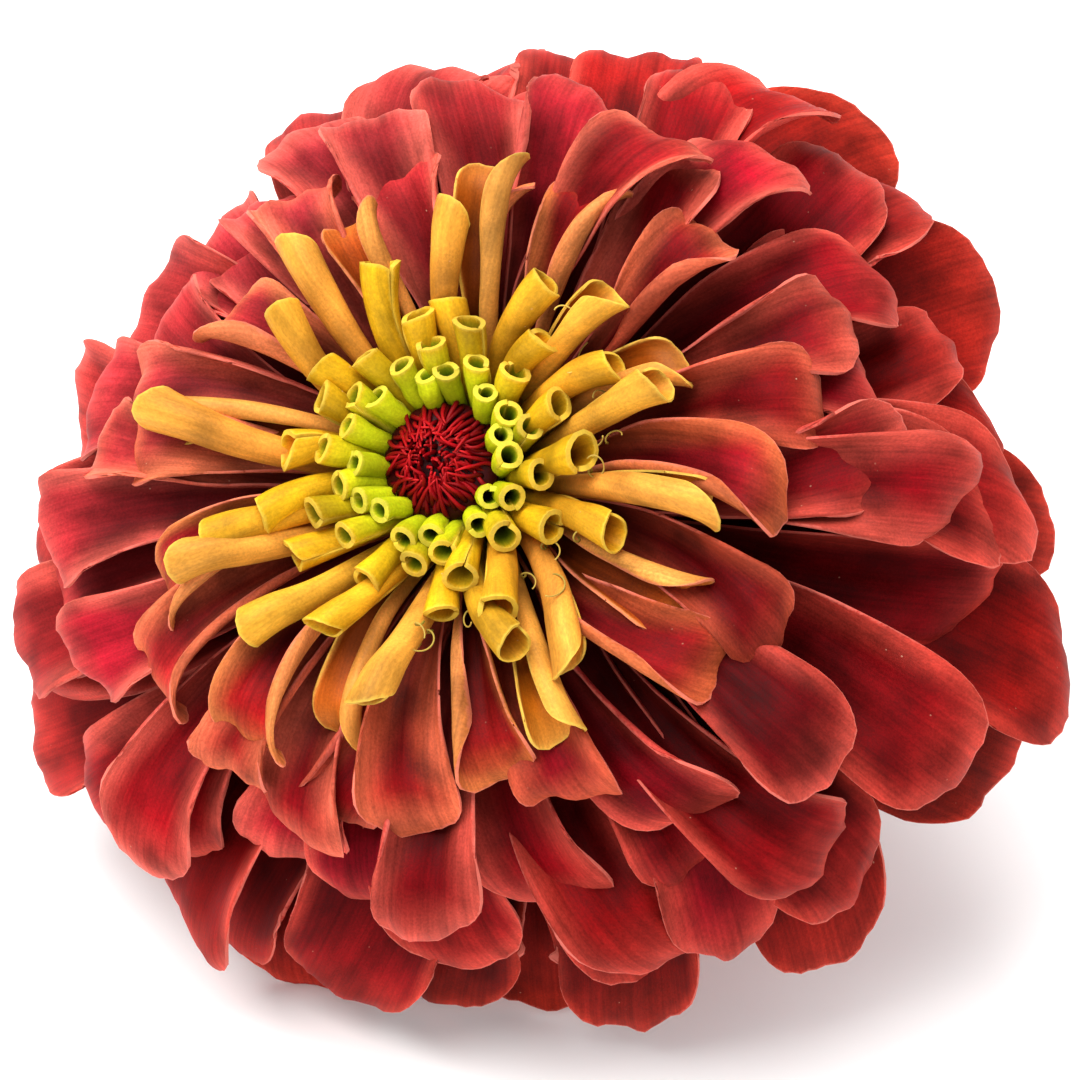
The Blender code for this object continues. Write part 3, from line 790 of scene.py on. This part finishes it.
def bowl_sheet(azimuth, half_angle, low, high, lift, thickness, rows=16, columns=12):
    """A bract pressed on the bowl of the calyx, its tip up."""
    share = np.linspace(0, 1, rows + 1)[:, None]
    side = np.sin(np.linspace(-math.pi / 2, math.pi / 2, columns + 1))[None, :]
    reach = 1 - 0.35 * side**2
    along = share * reach
    height = low + (high - low) * along
    turn = azimuth + half_angle * side * np.sqrt(np.clip(1 - 0.5 * along**3, 0.1, 1))
    flare = lift * MM * (0.15 + along**2) + 0.25 * MM * (1 - side**2)
    radius = calyx_radius(height) + 0.5 * MM + flare
    points = np.stack([radius * np.cos(turn), radius * np.sin(turn), height + 0 * turn], -1)
    normals = grid_normals(points)
    outward = np.sign((normals * np.stack([np.cos(turn), np.sin(turn), 0 * turn], -1)).sum(-1))[..., None]
    normals = normals * outward
    thin = thickness * MM / 2 * (1 - 0.5 * np.abs(side + 0 * along) ** 4)[..., None]
    count = points.shape[0] * points.shape[1]
    offset = normals * thin
    vertices = np.concatenate([(points + offset).reshape(-1, 3), (points - offset).reshape(-1, 3)])
    at = np.arange(count).reshape(rows + 1, columns + 1)
    rim = np.concatenate([at[0, :], at[1:, -1], at[-1, -2::-1], at[-2:0:-1, 0]])
    there = np.roll(rim, -1)
    band = np.stack([rim, there, there + count, rim + count], -1)
    faces = [grid_faces(rows, columns, 0, True), grid_faces(rows, columns, count), band]
    edge = np.minimum((1 - np.abs(side)) * 3.0, (1 - share) * 7.0) + 0 * along
    tint = mixed(gradient(along, *BRACT_STOPS), BRACT_EDGE, smooth_step(0.75, 0.15, edge))
    flow = np.stack([along * 8, side * 3 + 0 * along, np.full_like(along, azimuth * 9)], -1)
    return {
        "vertices": vertices,
        "faces": faces,
        "tint": np.concatenate([tint.reshape(-1, 3)] * 2),
        "flow": np.concatenate([flow.reshape(-1, 3)] * 2),
        "edge": np.concatenate([edge.reshape(-1)] * 2),
    }


def add_bracts(material):
    pitch = 2 * math.pi / BRACT_COUNT
    for number in range(BRACT_COUNT):
        middle = number * pitch
        sheets = []
        for low, high, lift, shift in BRACT_ROWS:
            azimuth = middle + shift * pitch + math.radians(jitter(2))
            sheets.append(bowl_sheet(azimuth, pitch * 0.56, low * MM, high * MM, lift, 0.3))
        add_piece(f"visual_bract_{number + 1}", joined(sheets), material, [f"bract_{number + 1}"])


def stem_sides():
    """The ribbed stem, the bowl of the calyx and the receptacle as one closed part."""
    heights, radii = [], []
    for height in np.linspace(-STEM_LENGTH, -CALYX_DEPTH, 60):
        share = (height + STEM_LENGTH) / (STEM_LENGTH - CALYX_DEPTH)
        heights.append(height)
        radii.append(STEM_RADIUS + (NECK_RADIUS - STEM_RADIUS) * share**4)
    for height in np.linspace(-CALYX_DEPTH, 0, 24)[1:]:
        heights.append(height)
        radii.append(float(calyx_radius(height)))
    for height in np.linspace(0, RECEPTACLE_HEIGHT, 14)[1:]:
        heights.append(height)
        radii.append(receptacle_radius(height))
    heights, radii = np.array(heights), np.array(radii)
    columns = 64
    turn = np.linspace(0, 2 * math.pi, columns, endpoint=False)[None, :]
    level = heights[:, None] + 0 * turn
    ribs = 1 + 0.025 * np.cos(9 * turn) * (level < -CALYX_DEPTH) + 0.012 * np.sin(3 * turn + level * 160)
    radius = radii[:, None] * ribs
    points = np.stack([radius * np.cos(turn), radius * np.sin(turn), level], -1).reshape(-1, 3)
    rows = len(heights)
    at = np.arange(rows * columns).reshape(rows, columns)
    there = np.roll(at, -1, axis=1)
    quads = np.stack([at[:-1], there[:-1], there[1:], at[1:]], -1).reshape(-1, 4)
    up = (points[:, 2] + STEM_LENGTH) / (STEM_LENGTH + RECEPTACLE_HEIGHT)
    flow = np.stack([points[:, 2] / MM, np.tile(turn[0] * 2.4, rows), np.zeros(len(points))], -1)
    return {
        "vertices": points,
        "faces": (quads, np.array([at[0, ::-1].tolist()]), np.array([at[-1].tolist()])),
        "tint": gradient(up, *STEM_STOPS),
        "flow": flow,
        "edge": np.full(len(points), NO_EDGE),
    }


def stem_hairs():
    hairs = []
    for number in range(HAIR_COUNT):
        height = random.uniform(-STEM_LENGTH + 1 * MM, -CALYX_DEPTH - 1 * MM)
        azimuth = random.uniform(0, 2 * math.pi)
        radial, across = directions(np.array(azimuth))
        root = STEM_RADIUS * radial + height * UPWARD
        length = random.uniform(0.5, 1.1) * MM
        lean = random.uniform(-0.5, 0.2)
        path = [root + length * (s * radial + lean * s * s * UPWARD) for s in (0, 0.35, 0.7, 1)]
        hairs.append(string(path, HAIR_RADII, HAIR_STOPS, sides=3, seed=number))
    return joined(hairs)


def add_stem(material):
    add_piece("visual_stem", stem_sides(), material, ["stem_and_receptacle"], 50)
    add_piece("visual_stem_hairs", stem_hairs(), material, ["stem_and_receptacle"], 0)


# The stage


def add_stage():
    mesh = bpy.data.meshes.new("floor")
    corners = [(x * FLOOR_REACH, y * FLOOR_REACH, 0) for x, y in ((-1, -1), (1, -1), (1, 1), (-1, 1))]
    mesh.from_pydata(corners, [], [(0, 1, 2, 3)])
    material = bpy.data.materials.new("pale_floor")
    material.use_nodes = True
    shader = material.node_tree.nodes["Principled BSDF"]
    shader.inputs["Base Color"].default_value = (0.95, 0.95, 0.955, 1)
    shader.inputs["Roughness"].default_value = 0.7
    mesh.materials.append(material)
    floor = bpy.data.objects.new("floor", mesh)
    bpy.context.scene.collection.objects.link(floor)


def aim(thing, location, target):
    back = Vector(location) - Vector(target)
    thing.location = location
    thing.rotation_euler = back.to_track_quat("Z", "Y").to_euler()


def direction(azimuth, elevation):
    """The direction towards a place at azimuth degrees round from -Y and elevation degrees up."""
    azimuth, elevation = math.radians(azimuth), math.radians(elevation)
    level = math.cos(elevation)
    return Vector((math.sin(azimuth) * level, -math.cos(azimuth) * level, math.sin(elevation)))


def add_light(name, azimuth, elevation, distance, size, power, colour, target):
    light = bpy.data.lights.new(name, "AREA")
    light.energy = power
    light.size = size
    light.color = colour
    thing = bpy.data.objects.new(name, light)
    bpy.context.scene.collection.objects.link(thing)
    aim(thing, Vector(target) + direction(azimuth, elevation) * distance, target)


def add_view(target):
    camera = bpy.data.cameras.new("camera")
    camera.lens = CAMERA_LENS
    camera.clip_start = 0.01
    thing = bpy.data.objects.new("camera", camera)
    bpy.context.scene.collection.objects.link(thing)
    aim(thing, Vector(target) + direction(CAMERA_AZIMUTH, CAMERA_ELEVATION) * CAMERA_DISTANCE, target)
    bpy.context.scene.camera = thing
    world = bpy.data.worlds.new("studio")
    world.use_nodes = True
    world.node_tree.nodes["Background"].inputs["Color"].default_value = (1, 1, 1, 1)
    world.node_tree.nodes["Background"].inputs["Strength"].default_value = 0.95
    bpy.context.scene.world = world
    bpy.context.scene.view_settings.view_transform = "Standard"


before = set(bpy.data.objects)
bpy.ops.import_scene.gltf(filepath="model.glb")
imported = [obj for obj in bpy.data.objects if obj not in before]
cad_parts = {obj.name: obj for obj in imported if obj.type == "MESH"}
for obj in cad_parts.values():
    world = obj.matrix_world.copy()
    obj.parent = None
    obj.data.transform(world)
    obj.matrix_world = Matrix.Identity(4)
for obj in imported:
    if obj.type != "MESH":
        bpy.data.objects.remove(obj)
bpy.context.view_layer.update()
HEAD = head_matrix()

velvet = tissue("velvet_petal")
waxy = tissue(
    "waxy_floret",
    vein=0.5,
    grain=0.7,
    roughness=0.42,
    scatter=0.08,
    specular=0.08,
    edge_colour=(0.78, 0.62, 0.10, 1),
    edge_share=0.35,
)
silky = tissue("disc_tissue", vein=0.4, grain=0.4, roughness=0.35, scatter=0.05, specular=0.1)
green = tissue(
    "green_tissue",
    vein=1.2,
    grain=1.0,
    sheen=0.15,
    scatter=0.1,
    edge_colour=(0.06, 0.03, 0.02, 1),
)

add_florets(velvet, waxy)
add_disc(silky)
add_styles(waxy)
add_bracts(green)
add_stem(green)

add_stage()
add_light("key", -50, 74, 1.0, 1.0, 19, (1.0, 0.985, 0.96), CAMERA_TARGET)
add_view(CAMERA_TARGET)
